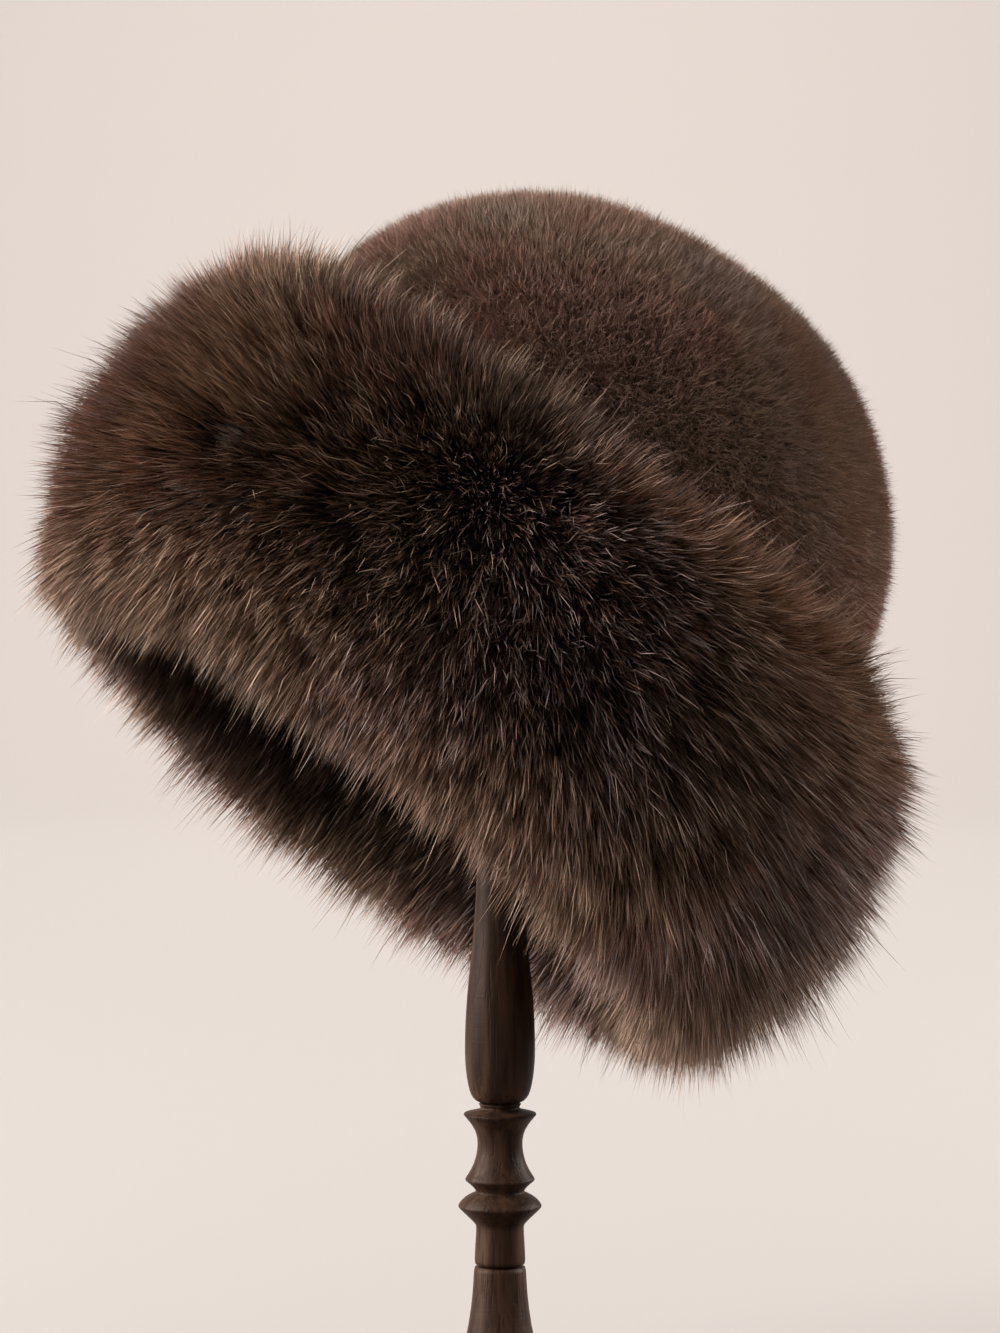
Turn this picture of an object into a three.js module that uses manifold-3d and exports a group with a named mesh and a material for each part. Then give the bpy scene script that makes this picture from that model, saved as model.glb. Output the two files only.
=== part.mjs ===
import * as THREE from 'three';
import { mergeVertices } from 'three/addons/utils/BufferGeometryUtils.js';
import Module from 'manifold-3d';

// A fur hat with a deep fur brim, resting aslant on a turned wooden stand.
// Millimetres, +Z up, X to the right, Y to the back. The origin is the middle of the foot's underside.
// The hat is shaped upright round its own axis, with height 0 at the middle of the brim, then set aslant.

// Gap kept between pieces that touch.
const GAP = 0.35;

// How the hat sits: the brim's middle stands over the foot, and its axis leans to the right and back.
const HAT = {
  centreHeight: 271,
  leanRightDegrees: 36,
  leanBackDegrees: 12.5,
  depthRatio: 0.95,
  sides: 36,
};

// The crown's outer face from its top down to the hem, as radius and height.
const CROWN_OUTLINE = [
  { radius: 0, height: 129 },
  { radius: 28, height: 127 },
  { radius: 53, height: 119.5 },
  { radius: 80, height: 100 },
  { radius: 96, height: 79 },
  { radius: 105, height: 54 },
  { radius: 104.5, height: 20 },
  { radius: 103, height: -25 },
];
const CROWN_WALL = 9;
const CROWN_STEPS = 8;

// Soft dents in the crown. A bearing is counted from the right towards the back.
const CROWN_DENTS = [
  { bearingDegrees: 250, height: 112, spread: 34, depth: 2.4 },
  { bearingDegrees: 20, height: 92, spread: 30, depth: 2.2 },
  { bearingDegrees: 130, height: 98, spread: 38, depth: 2.8 },
  { bearingDegrees: 320, height: 84, spread: 26, depth: 1.8 },
];

// The band's inner face, from its top edge to its flared lower edge.
const BAND_FACE = [
  { radius: 104.7, height: 15 },
  { radius: 103.4, height: -25 },
  { radius: 104.3, height: -38 },
  { radius: 107, height: -52 },
];
const BAND_THICKNESS = 4.5;

// The brim's fur across its roll, from the crown's side over the outside and under to the inside.
// Hairs run from the root on the band to the tip.
const FUR_ROLL = [
  { rootRadius: 108, rootHeight: 14, tipRadius: 109.5, tipHeight: 54 },
  { rootRadius: 109, rootHeight: 14, tipRadius: 128.5, tipHeight: 41 },
  { rootRadius: 109, rootHeight: 12, tipRadius: 143.5, tipHeight: 21 },
  { rootRadius: 109, rootHeight: 3, tipRadius: 149, tipHeight: 0 },
  { rootRadius: 109, rootHeight: -11, tipRadius: 150.5, tipHeight: -20 },
  { rootRadius: 110, rootHeight: -26, tipRadius: 151, tipHeight: -41 },
  { rootRadius: 111, rootHeight: -42, tipRadius: 145, tipHeight: -63 },
  { rootRadius: 112, rootHeight: -52, tipRadius: 132, tipHeight: -86 },
  { rootRadius: 110, rootHeight: -53, tipRadius: 117.5, tipHeight: -98 },
  { rootRadius: 108, rootHeight: -52, tipRadius: 105, tipHeight: -91 },
  { rootRadius: 106, rootHeight: -44, tipRadius: 98, tipHeight: -71 },
  { rootRadius: 104, rootHeight: -34, tipRadius: 97, tipHeight: -42 },
];
// Shares of a hair's length: where the backing ends, and where a lock starts and ends.
const BACKING_SHARE = 0.76;
const LOCK_START_SHARE = 0.6;
const LOCK_END_SHARE = 1.01;

// Where the roll is fuller or flatter than a true ring: a bearing and a place in rows of the roll's
// table, the patch's spread in degrees and in rows, and how much further out its tips stand.
const ROLL_SWELLS = [
  { bearingDegrees: 164, place: 6.9, around: 34, across: 1.9, out: -15.5 },
  { bearingDegrees: 2, place: 5.3, around: 30, across: 2.2, out: 7.8 },
  { bearingDegrees: 356, place: 1.9, around: 16, across: 0.8, out: 3.1 },
  { bearingDegrees: 10, place: 8.4, around: 26, across: 1, out: -5 },
  { bearingDegrees: 199, place: 1, around: 24, across: 1.6, out: 5.6 },
  { bearingDegrees: 347, place: 0.4, around: 17, across: 0.8, out: -8 },
  { bearingDegrees: 326, place: 0.3, around: 13, across: 0.9, out: 4 },
  { bearingDegrees: 272, place: 0.7, around: 38, across: 1.4, out: -6.5 },
  { bearingDegrees: 258, place: 7.3, around: 44, across: 1.4, out: -10.5 },
  { bearingDegrees: 102, place: 8.9, around: 12, across: 1.1, out: 4 },
];

// Rows of locks. A place is counted in rows of the roll's table, a width round the hat.
const LOCK_ROWS = [
  { place: 0.6, count: 24, width: 23, thickness: 9 },
  { place: 1.4, count: 28, width: 28, thickness: 20 },
  { place: 2.25, count: 32, width: 28, thickness: 22 },
  { place: 3.2, count: 32, width: 28, thickness: 22 },
  { place: 4.2, count: 32, width: 28, thickness: 22 },
  { place: 5.2, count: 32, width: 28, thickness: 22 },
  { place: 6.1, count: 32, width: 28, thickness: 21 },
  { place: 7.0, count: 28, width: 27, thickness: 18 },
  { place: 7.9, count: 24, width: 24, thickness: 14 },
];
// How far a lock strays: round the hat in shares of its spacing, and in shares of its length.
const LOCK_STRAY = 0.35;
const LOCK_LENGTH_STRAY = 0.08;
// How far a lock's tip strays sideways.
const LOCK_LEAN = 8;
// Tips fan out from the roll's middle, by this share of their distance from it in rows.
const ROLL_MIDDLE = 3.7;
const LOCK_FAN = 0.2;
const LOCK_SEED = 11;

// The stand's turned outlines, as radius and height above the table.
const FOOT = { radius: 84, edge: 6, neckRadius: 8.2, height: 62, sides: 32 };
const LOWER_SPINDLE = [
  { radius: 8.2, height: 62 },
  { radius: 7.5, height: 75.2 },
  { radius: 12.9, height: 80.5 },
  { radius: 13.1, height: 81.1 },
  { radius: 11.7, height: 83.2 },
  { radius: 7.7, height: 85.2 },
  { radius: 10.9, height: 88.9 },
  { radius: 10.9, height: 89.6 },
  { radius: 7.8, height: 94.8 },
  { radius: 6.8, height: 100.2 },
  { radius: 8.3, height: 105.4 },
  { radius: 11.4, height: 109.2 },
  { radius: 11.4, height: 110.1 },
  { radius: 6.1, height: 111.6 },
  { radius: 6.8, height: 113.4 },
];
const UPPER_SPINDLE = [
  { radius: 7.2, height: 113.4 },
  { radius: 9.5, height: 116.4 },
  { radius: 10.6, height: 122 },
  { radius: 11, height: 129 },
  { radius: 10.4, height: 146 },
  { radius: 8.7, height: 161.5 },
  { radius: 7.5, height: 177 },
  { radius: 7, height: 196 },
];
const POST_TOP_RADIUS = 6.4;
const SPINDLE_SIDES = 24;

// The stand's head: a shallow dome, set just under the crown.
const HEAD = {
  radius: 31,
  domeRadius: 34,
  edge: 7,
  neckRadius: 10,
  neckLength: 9,
  clearanceAbove: 0.5,
};

const FUR_COLOUR = 0x4a382d;
const CROWN_COLOUR = 0x5b483b;
const HIDE_COLOUR = 0x2f241d;
const WOOD_COLOUR = 0x35251c;

const wasm = await Module();
wasm.setup();

const radians = THREE.MathUtils.degToRad;

// A profile's point: x is the radius and y the height, as a lathe takes them.
const profilePoint = ({ radius, height }) => new THREE.Vector2(radius, height);

// Even points along a smooth outline through the rows of a table.
function smoothOutline(rows, steps) {
  return new THREE.SplineCurve(rows.map(profilePoint)).getPoints(steps);
}

// The outline moved sideways: a positive distance goes to the left of its direction.
function offsetOutline(points, distance) {
  return points.map((point, i) => {
    const before = points[Math.max(i - 1, 0)];
    const after = points[Math.min(i + 1, points.length - 1)];
    const along = after.clone().sub(before).normalize();
    return new THREE.Vector2(point.x - along.y * distance, point.y + along.x * distance);
  });
}

// A turned shape about +Z. An open profile runs upwards from axis to axis, or else it closes on itself.
function turned(points, sides) {
  const geometry = new THREE.LatheGeometry(points, sides);
  geometry.deleteAttribute('normal');
  geometry.deleteAttribute('uv');
  geometry.rotateX(Math.PI / 2);
  return mergeVertices(geometry, 0.001);
}

// A closed mesh as a solid that can be joined or cut, and back again.
function solidOf(geometry) {
  const vertProperties = new Float32Array(geometry.attributes.position.array);
  const triVerts = new Uint32Array(geometry.index.array);
  return new wasm.Manifold(new wasm.Mesh({ numProp: 3, vertProperties, triVerts }));
}

// The largest closed surface alone, which fills any pocket left inside it.
function outerShell(solid) {
  return solid.decompose().reduce((most, body) => (body.volume() > most.volume() ? body : most));
}

function geometryOf(solid) {
  const { vertProperties, triVerts } = solid.getMesh();
  const geometry = new THREE.BufferGeometry();
  geometry.setAttribute('position', new THREE.BufferAttribute(vertProperties, 3));
  geometry.setIndex(new THREE.BufferAttribute(triVerts, 1));
  return geometry;
}

function namedMesh(name, geometry, color, roughness) {
  geometry.computeVertexNormals();
  const mesh = new THREE.Mesh(geometry, new THREE.MeshStandardMaterial({ color, roughness, metalness: 0 }));
  mesh.name = name;
  return mesh;
}

// The hat is a little narrower from front to back than from side to side.
const narrowed = (geometry) => geometry.scale(1, HAT.depthRatio, 1);

// The crown: a dome of even thickness, open at its hem, with its soft dents pressed in.
const crownOuterPoints = () => smoothOutline(CROWN_OUTLINE, CROWN_STEPS);

function pressDents(geometry) {
  const position = geometry.attributes.position;
  const centres = CROWN_DENTS.map(({ bearingDegrees, height }) => {
    const radius = radiusAtHeight(height);
    const bearing = radians(bearingDegrees);
    return new THREE.Vector3(radius * Math.cos(bearing), radius * Math.sin(bearing), height);
  });
  const point = new THREE.Vector3();
  for (let i = 0; i < position.count; i += 1) {
    point.fromBufferAttribute(position, i);
    let inward = 0;
    CROWN_DENTS.forEach(({ spread, depth }, d) => {
      inward += depth * Math.exp(-((point.distanceTo(centres[d]) / spread) ** 2));
    });
    point.multiplyScalar(1 - inward / point.length());
    position.setXYZ(i, point.x, point.y, point.z);
  }
  return geometry;
}

// The crown's outer radius at a height, straight between the rows of its outline.
function radiusAtHeight(height) {
  const above = CROWN_OUTLINE.findLastIndex((row) => row.height >= height);
  const [top, bottom] = [CROWN_OUTLINE[above], CROWN_OUTLINE[above + 1]];
  const share = (top.height - height) / (top.height - bottom.height);
  return THREE.MathUtils.lerp(top.radius, bottom.radius, share);
}

function crownGeometry() {
  const outer = crownOuterPoints();
  const inner = offsetOutline(outer, -CROWN_WALL);
  inner[0].x = 0;
  const section = [...inner, ...outer.reverse()];
  return narrowed(pressDents(turned(section, HAT.sides)));
}

// The room that the crown takes, hollow and all, with the gap round it.
function crownRoom() {
  const outer = offsetOutline(crownOuterPoints(), GAP);
  outer[0].x = 0;
  const hem = outer.at(-1);
  hem.y -= GAP;
  return solidOf(narrowed(turned([new THREE.Vector2(0, hem.y), ...outer.reverse()], HAT.sides)));
}

// The band: a ring of even thickness round the crown's hem. A margin makes it larger all round.
function bandGeometry(margin = 0) {
  const inner = BAND_FACE.map(profilePoint);
  inner[0].y += margin;
  inner.at(-1).y -= margin;
  const near = offsetOutline(inner, -margin);
  const far = offsetOutline(inner, BAND_THICKNESS + margin);
  const section = [...far.reverse(), ...near, far[0].clone()];
  return narrowed(turned(section, HAT.sides));
}

// A place across the brim's roll, in rows of its table, at a share of the hair's length.
function rollPoint(place, share) {
  const row = THREE.MathUtils.clamp(Math.floor(place), 0, FUR_ROLL.length - 2);
  const [from, to] = [FUR_ROLL[row], FUR_ROLL[row + 1]];
  const between = (key) => THREE.MathUtils.lerp(from[key], to[key], place - row);
  return new THREE.Vector2(
    THREE.MathUtils.lerp(between('rootRadius'), between('tipRadius'), share),
    THREE.MathUtils.lerp(between('rootHeight'), between('tipHeight'), share),
  );
}

// A point of a profile, turned to a bearing round the hat.
const atBearing = (point, bearing) =>
  new THREE.Vector3(point.x * Math.cos(bearing), point.x * Math.sin(bearing), point.y);

// How much further out the tips stand at a bearing and a place across the roll.
function swellAt(bearing, atPlace) {
  return ROLL_SWELLS.reduce((sum, { bearingDegrees, place, around, across, out }) => {
    const turn = bearing - radians(bearingDegrees);
    const degreesAway = THREE.MathUtils.radToDeg(Math.atan2(Math.sin(turn), Math.cos(turn)));
    return sum + out * Math.exp(-((degreesAway / around) ** 2) - ((atPlace - place) / across) ** 2);
  }, 0);
}

// A point of the brim's fur: a place across the roll, at a share of the hair's length and a bearing.
function furPoint(place, share, bearing) {
  const outwards = rollPoint(place, 1).sub(rollPoint(place, 0)).normalize();
  const point = rollPoint(place, share).addScaledVector(outwards, swellAt(bearing, place) * share);
  return atBearing(point, bearing);
}

// A lock of fur: a four-sided taper from its foot to a point, which strays sideways.
function lockGeometry(start, end, bearing, width, thickness, sideways) {
  const around = new THREE.Vector3(-Math.sin(bearing), Math.cos(bearing), 0);
  const across = end.clone().sub(start).cross(around).normalize();
  const corner = (direction, size) => start.clone().addScaledVector(direction, size * 0.5);
  const corners = [
    corner(around, width),
    corner(across, thickness),
    corner(around, -width),
    corner(across, -thickness),
    end.clone().addScaledVector(around, sideways),
  ];
  const geometry = new THREE.BufferGeometry().setFromPoints(corners);
  geometry.setIndex([0, 2, 1, 0, 3, 2, 0, 1, 4, 1, 2, 4, 2, 3, 4, 3, 0, 4]);
  return geometry;
}

// The fur's backing: a closed ring through the roll's rows, fuller or flatter where the swells are.
function backingGeometry() {
  const section = FUR_ROLL.map((row, place) => rollPoint(place, BACKING_SHARE));
  const geometry = turned([...section.toReversed(), section.at(-1).clone()], HAT.sides);
  const position = geometry.attributes.position;
  for (let i = 0; i < position.count; i += 1) {
    const [x, y, height] = [position.getX(i), position.getY(i), position.getZ(i)];
    const spot = new THREE.Vector2(Math.hypot(x, y), height);
    const place = section.findIndex((point) => point.distanceTo(spot) < GAP);
    const moved = furPoint(place, BACKING_SHARE, Math.atan2(y, x));
    position.setXYZ(i, moved.x, moved.y, moved.z);
  }
  return narrowed(geometry);
}

// The brim's fur: locks fused to a backing that wraps round the band, cut clear of band and crown.
function brimFurGeometry() {
  let fur = solidOf(backingGeometry());
  const stray = (size) => THREE.MathUtils.lerp(-size, size, THREE.MathUtils.seededRandom());
  THREE.MathUtils.seededRandom(LOCK_SEED);
  LOCK_ROWS.forEach(({ place, count, width, thickness }, row) => {
    const spacing = (2 * Math.PI) / count;
    for (let i = 0; i < count; i += 1) {
      const bearing = (i + 0.5 * (row % 2) + stray(LOCK_STRAY)) * spacing;
      const lockPlace = place + stray(LOCK_STRAY);
      const start = furPoint(lockPlace, LOCK_START_SHARE, bearing);
      const tipPlace = Math.max(lockPlace + LOCK_FAN * (lockPlace - ROLL_MIDDLE), 0);
      const tipShare = LOCK_END_SHARE + stray(LOCK_LENGTH_STRAY);
      const end = furPoint(tipPlace, tipShare, bearing);
      const lock = lockGeometry(start, end, bearing, width, thickness, stray(LOCK_LEAN));
      fur = fur.add(solidOf(narrowed(lock)));
    }
  });
  const fitted = fur.subtract(crownRoom()).subtract(solidOf(bandGeometry(GAP)));
  return geometryOf(outerShell(fitted));
}

// The stand's foot: a disc with a round edge, swept up into a neck.
function footGeometry() {
  const { radius, edge, neckRadius, height } = FOOT;
  const outline = new THREE.Path();
  outline.moveTo(0, 0);
  outline.lineTo(radius - edge, 0);
  outline.absarc(radius - edge, edge, edge, -Math.PI / 2, Math.PI / 2, false);
  outline.bezierCurveTo(radius * 0.45, edge * 2.4, neckRadius * 1.4, height * 0.3, neckRadius, height);
  outline.lineTo(0, height);
  return turned(outline.getPoints(4), FOOT.sides);
}

// A spindle with its ends closed on the axis. The gap is left under it.
function spindleGeometry(rows) {
  const points = rows.map(profilePoint);
  points[0].y += GAP;
  const section = [new THREE.Vector2(0, points[0].y), ...points, new THREE.Vector2(0, points.at(-1).y)];
  return turned(section, SPINDLE_SIDES);
}

// The head: a shallow dome with a round edge on a short neck. Its top is at height 0.
function headGeometry() {
  const { radius, domeRadius, edge, neckRadius, neckLength } = HEAD;
  const domeEdge = radius - edge * 0.5;
  const rimAngle = Math.acos(domeEdge / domeRadius);
  const rimHeight = domeRadius * (Math.sin(rimAngle) - 1);
  const outline = new THREE.Path();
  outline.moveTo(0, rimHeight - edge - neckLength);
  outline.lineTo(neckRadius, rimHeight - edge - neckLength);
  outline.quadraticCurveTo(neckRadius, rimHeight - edge, radius * 0.6, rimHeight - edge);
  outline.lineTo(domeEdge, rimHeight - edge);
  outline.quadraticCurveTo(radius + edge * 0.5, rimHeight - edge * 0.5, domeEdge, rimHeight);
  outline.absarc(0, -domeRadius, domeRadius, rimAngle, Math.PI / 2, false);
  const points = outline.getPoints(3);
  points.at(-1).x = 0;
  return turned(points, SPINDLE_SIDES);
}

const hatGroup = new THREE.Group();
hatGroup.position.z = HAT.centreHeight;
hatGroup.rotation.order = 'YXZ';
hatGroup.rotation.y = radians(HAT.leanRightDegrees);
hatGroup.rotation.x = -radians(HAT.leanBackDegrees);
const crown = namedMesh('crown', crownGeometry(), CROWN_COLOUR, 1);
hatGroup.add(crown);
hatGroup.add(namedMesh('brim_band', bandGeometry(), HIDE_COLOUR, 0.9));
hatGroup.add(namedMesh('brim_fur', brimFurGeometry(), FUR_COLOUR, 1));
hatGroup.updateMatrixWorld(true);

// The head stands as high as the crown's inner face lets it, straight above the post.
crown.material.side = THREE.DoubleSide;
const upwards = new THREE.Raycaster(hatGroup.position.clone(), new THREE.Vector3(0, 0, 1));
const headTop = upwards.intersectObject(crown)[0].point.z - HEAD.clearanceAbove;
crown.material.side = THREE.FrontSide;
const head = namedMesh('stand_head', headGeometry(), WOOD_COLOUR, 0.45);
head.geometry.computeBoundingBox();
head.position.z = headTop;
const postTop = headTop + head.geometry.boundingBox.min.z;

const upperRows = [...UPPER_SPINDLE, { radius: POST_TOP_RADIUS, height: postTop - GAP }];
const standGroup = new THREE.Group();
standGroup.add(head);
standGroup.add(namedMesh('stand_upper_spindle', spindleGeometry(upperRows), WOOD_COLOUR, 0.45));
standGroup.add(namedMesh('stand_lower_spindle', spindleGeometry(LOWER_SPINDLE), WOOD_COLOUR, 0.45));
standGroup.add(namedMesh('stand_foot', footGeometry(), WOOD_COLOUR, 0.45));

const hatOnStand = new THREE.Group();
hatOnStand.add(standGroup, hatGroup);

export default hatOnStand;
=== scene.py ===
import math

import bpy
import numpy as np
from mathutils import Matrix, Vector


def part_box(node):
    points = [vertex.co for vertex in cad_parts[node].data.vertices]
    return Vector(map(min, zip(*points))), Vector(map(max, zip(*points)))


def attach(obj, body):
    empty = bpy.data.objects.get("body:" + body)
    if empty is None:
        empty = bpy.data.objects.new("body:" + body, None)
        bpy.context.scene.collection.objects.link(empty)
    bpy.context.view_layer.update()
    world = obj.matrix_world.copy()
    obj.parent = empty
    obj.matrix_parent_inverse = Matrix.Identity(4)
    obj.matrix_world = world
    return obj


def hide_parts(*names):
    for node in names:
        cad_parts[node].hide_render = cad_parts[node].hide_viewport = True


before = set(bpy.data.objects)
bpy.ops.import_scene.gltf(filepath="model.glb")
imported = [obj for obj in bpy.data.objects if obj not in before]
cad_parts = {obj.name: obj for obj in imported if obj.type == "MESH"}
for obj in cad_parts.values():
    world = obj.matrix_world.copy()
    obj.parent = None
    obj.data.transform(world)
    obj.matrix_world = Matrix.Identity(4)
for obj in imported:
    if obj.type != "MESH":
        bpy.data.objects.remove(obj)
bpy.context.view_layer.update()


# The photographer's view. The camera looks along +Y from just above the hat's own height, through
# a long lens. The picture is 1000 by 1333, and a millimetre at the post is 3.2 of its pixels.
PICTURE_WIDTH_PX = 1000
PICTURE_HEIGHT_PX = 1333
PX_PER_METRE = 3200
HAT_CENTRE = Vector((0, 0, 0.271))
HAT_CENTRE_ROW_PX = 600
CAMERA_DISTANCE = 1.35
CAMERA_RISE = math.radians(2)
SENSOR_WIDTH_MM = 36

camera_data = bpy.data.cameras.new("photo_view")
camera_data.sensor_fit = "HORIZONTAL"
camera_data.sensor_width = SENSOR_WIDTH_MM
camera_data.lens = SENSOR_WIDTH_MM * PX_PER_METRE * CAMERA_DISTANCE / PICTURE_WIDTH_PX
camera = bpy.data.objects.new("photo_view", camera_data)
bpy.context.scene.collection.objects.link(camera)
aim_height = HAT_CENTRE.z + (HAT_CENTRE_ROW_PX - PICTURE_HEIGHT_PX / 2) / PX_PER_METRE
camera.location = (
    0,
    -CAMERA_DISTANCE * math.cos(CAMERA_RISE),
    aim_height + CAMERA_DISTANCE * math.sin(CAMERA_RISE),
)
camera.rotation_euler = (math.pi / 2 - CAMERA_RISE, 0, 0)
bpy.context.scene.camera = camera


# The studio: a round sweep of pale paper, from the floor up into a wall on every side, under three
# soft lamps. The largest lamp stands on the left, level with the hat, and the room is dim.
FLOOR_RADIUS = 3.0
WALL_BEND = 2.0
WALL_HEIGHT = 3.4
WALL_BEND_STEPS = 12
SWEEP_SIDES = 72
PAPER_COLOUR = (0.213, 0.188, 0.172, 1)
PAPER_ROUGHNESS = 0.95
ROOM_COLOUR = (1.0, 0.965, 0.94, 1)
ROOM_STRENGTH = 0.37
LAMPS = [
    {"name": "left_softbox", "place": (-2.1, -0.2, 1.25), "aim": (0, 0, 0.27), "size": 2.4, "watts": 275},
    {"name": "right_softbox", "place": (2.0, 0.6, 1.2), "aim": (0, 0, 0.27), "size": 1.6, "watts": 125},
    {"name": "wall_softbox", "place": (0, 2.75, 2.8), "aim": (0, 4.5, 0.2), "size": 1.6, "watts": 225},
]
# An outline starts as a square of this size, shrunk to a point.
START_SIZE = 0.001
SWEEP_WELD = 0.0001


def spin_outline(name, outline, sides, weld, inside=False):
    """A new object: an outline of radius and height, spun round the upright axis.

    Points closer together than weld become one, and inside turns the faces inwards. A screw modifier
    does the spinning, because the spin operator puts its faces in another order each run.
    """
    bpy.ops.object.select_all(action="DESELECT")
    bpy.ops.mesh.primitive_plane_add(size=START_SIZE, location=(outline[0][0], 0, outline[0][1]))
    made = bpy.context.active_object
    made.name = name
    made.data.name = name
    bpy.ops.object.transform_apply(location=True, rotation=True, scale=True)
    bpy.ops.object.mode_set(mode="EDIT")
    bpy.ops.mesh.merge(type="CENTER")
    for (r0, z0), (r1, z1) in zip(outline, outline[1:]):
        bpy.ops.mesh.extrude_region_move(TRANSFORM_OT_translate={"value": (r1 - r0, 0, z1 - z0)})
    bpy.ops.object.mode_set(mode="OBJECT")
    spin = made.modifiers.new("spin", "SCREW")
    spin.angle = 2 * math.pi
    spin.steps = sides
    spin.render_steps = sides
    bpy.ops.object.modifier_apply(modifier=spin.name)
    bpy.ops.object.mode_set(mode="EDIT")
    bpy.ops.mesh.select_all(action="SELECT")
    bpy.ops.mesh.remove_doubles(threshold=weld)
    bpy.ops.mesh.normals_make_consistent(inside=inside)
    bpy.ops.object.mode_set(mode="OBJECT")
    bpy.ops.object.shade_smooth()
    return made


bend = np.linspace(0, math.pi / 2, WALL_BEND_STEPS + 1)
sweep_radii = [0, *(FLOOR_RADIUS + WALL_BEND * np.sin(bend)), FLOOR_RADIUS + WALL_BEND]
sweep_heights = [0, *(WALL_BEND * (1 - np.cos(bend))), WALL_HEIGHT]
sweep_outline = list(zip(sweep_radii, sweep_heights))
sweep = spin_outline("paper_sweep", sweep_outline, SWEEP_SIDES, SWEEP_WELD, inside=True)
paper = bpy.data.materials.new("pale_paper")
paper.use_nodes = True
paper_shader = paper.node_tree.nodes["Principled BSDF"]
paper_shader.inputs["Base Color"].default_value = PAPER_COLOUR
paper_shader.inputs["Roughness"].default_value = PAPER_ROUGHNESS
sweep.data.materials.append(paper)

for lamp in LAMPS:
    lamp_data = bpy.data.lights.new(lamp["name"], "AREA")
    lamp_data.size = lamp["size"]
    lamp_data.energy = lamp["watts"]
    lamp_object = bpy.data.objects.new(lamp["name"], lamp_data)
    bpy.context.scene.collection.objects.link(lamp_object)
    lamp_object.location = lamp["place"]
    lamp_object.visible_camera = False
    towards = Vector(lamp["aim"]) - Vector(lamp["place"])
    lamp_object.rotation_euler = towards.to_track_quat("-Z", "Y").to_euler()

room = bpy.data.worlds.new("room")
room.use_nodes = True
room.node_tree.nodes["Background"].inputs["Color"].default_value = ROOM_COLOUR
room.node_tree.nodes["Background"].inputs["Strength"].default_value = ROOM_STRENGTH
bpy.context.scene.world = room
bpy.context.scene.view_settings.view_transform = "Standard"


# The stand: turned hardwood, stained nearly black-brown and rubbed to a low gloss. Its four
# pieces are turned on one axis and glued end to end: foot, lower spindle, upper spindle and head.
SPINDLE_SIDES = 40
PIECE_WELD = 0.00002
WOOD_DARK = (0.013, 0.0066, 0.0043, 1)
WOOD_LIGHT = (0.046, 0.0232, 0.0140, 1)
WOOD_WORN = (0.058, 0.0310, 0.0195, 1)
WOOD_GLOSS = (1.0, 0.84, 0.74, 1)
WOOD_SPECULAR = 0.06
# The wood's patterns. Grain, figure and pores are drawn out up the piece, and lathe marks round it.
GRAIN = {"stretch": (1, 1, 0.07), "scale": 260, "detail": 4}
FIGURE = {"stretch": (1, 1, 0.2), "scale": 38, "detail": 2}
PORES = {"stretch": (1, 1, 0.045), "scale": 900, "detail": 2}
WEAR = {"stretch": (1, 1, 1), "scale": 60, "detail": 4}
LATHE_MARKS = {"stretch": (0.02, 0.02, 1), "scale": 1400, "detail": 2}
# Between these values of their patterns the wood goes from dark to light, pores end and wear begins.
TINT_RANGE = (0.36, 0.66)
PORE_RANGE = (0.36, 0.46)
WEAR_RANGE = (0.56, 0.75)
# The grain's share of the tint, where the rest is figure, and how far wear and pores change it.
GRAIN_SHARE = 0.65
WEAR_SHARE = 0.35
PORE_SHARE = 0.6
# The least roughness, and what the grain adds to it.
WOOD_ROUGHNESS = (0.36, 0.16)
# The pores' share of the relief, where the rest is lathe marks.
PORE_RELIEF = 0.5
WOOD_RELIEF = 0.00012
NOISE_ROUGHNESS = 0.55


class Wire:
    """A socket in a material, which can be calculated with."""

    def __init__(self, finish, socket):
        self.finish = finish
        self.socket = socket

    def math(self, operation, *values):
        return self.finish.node("ShaderNodeMath", {"operation": operation}, dict(enumerate(values)))

    def __add__(self, other):
        return self.math("ADD", self, other)

    def __radd__(self, other):
        return self.math("ADD", other, self)

    def __sub__(self, other):
        return self.math("SUBTRACT", self, other)

    def __rsub__(self, other):
        return self.math("SUBTRACT", other, self)

    def __mul__(self, other):
        return self.math("MULTIPLY", self, other)

    def __rmul__(self, other):
        return self.math("MULTIPLY", other, self)


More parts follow.
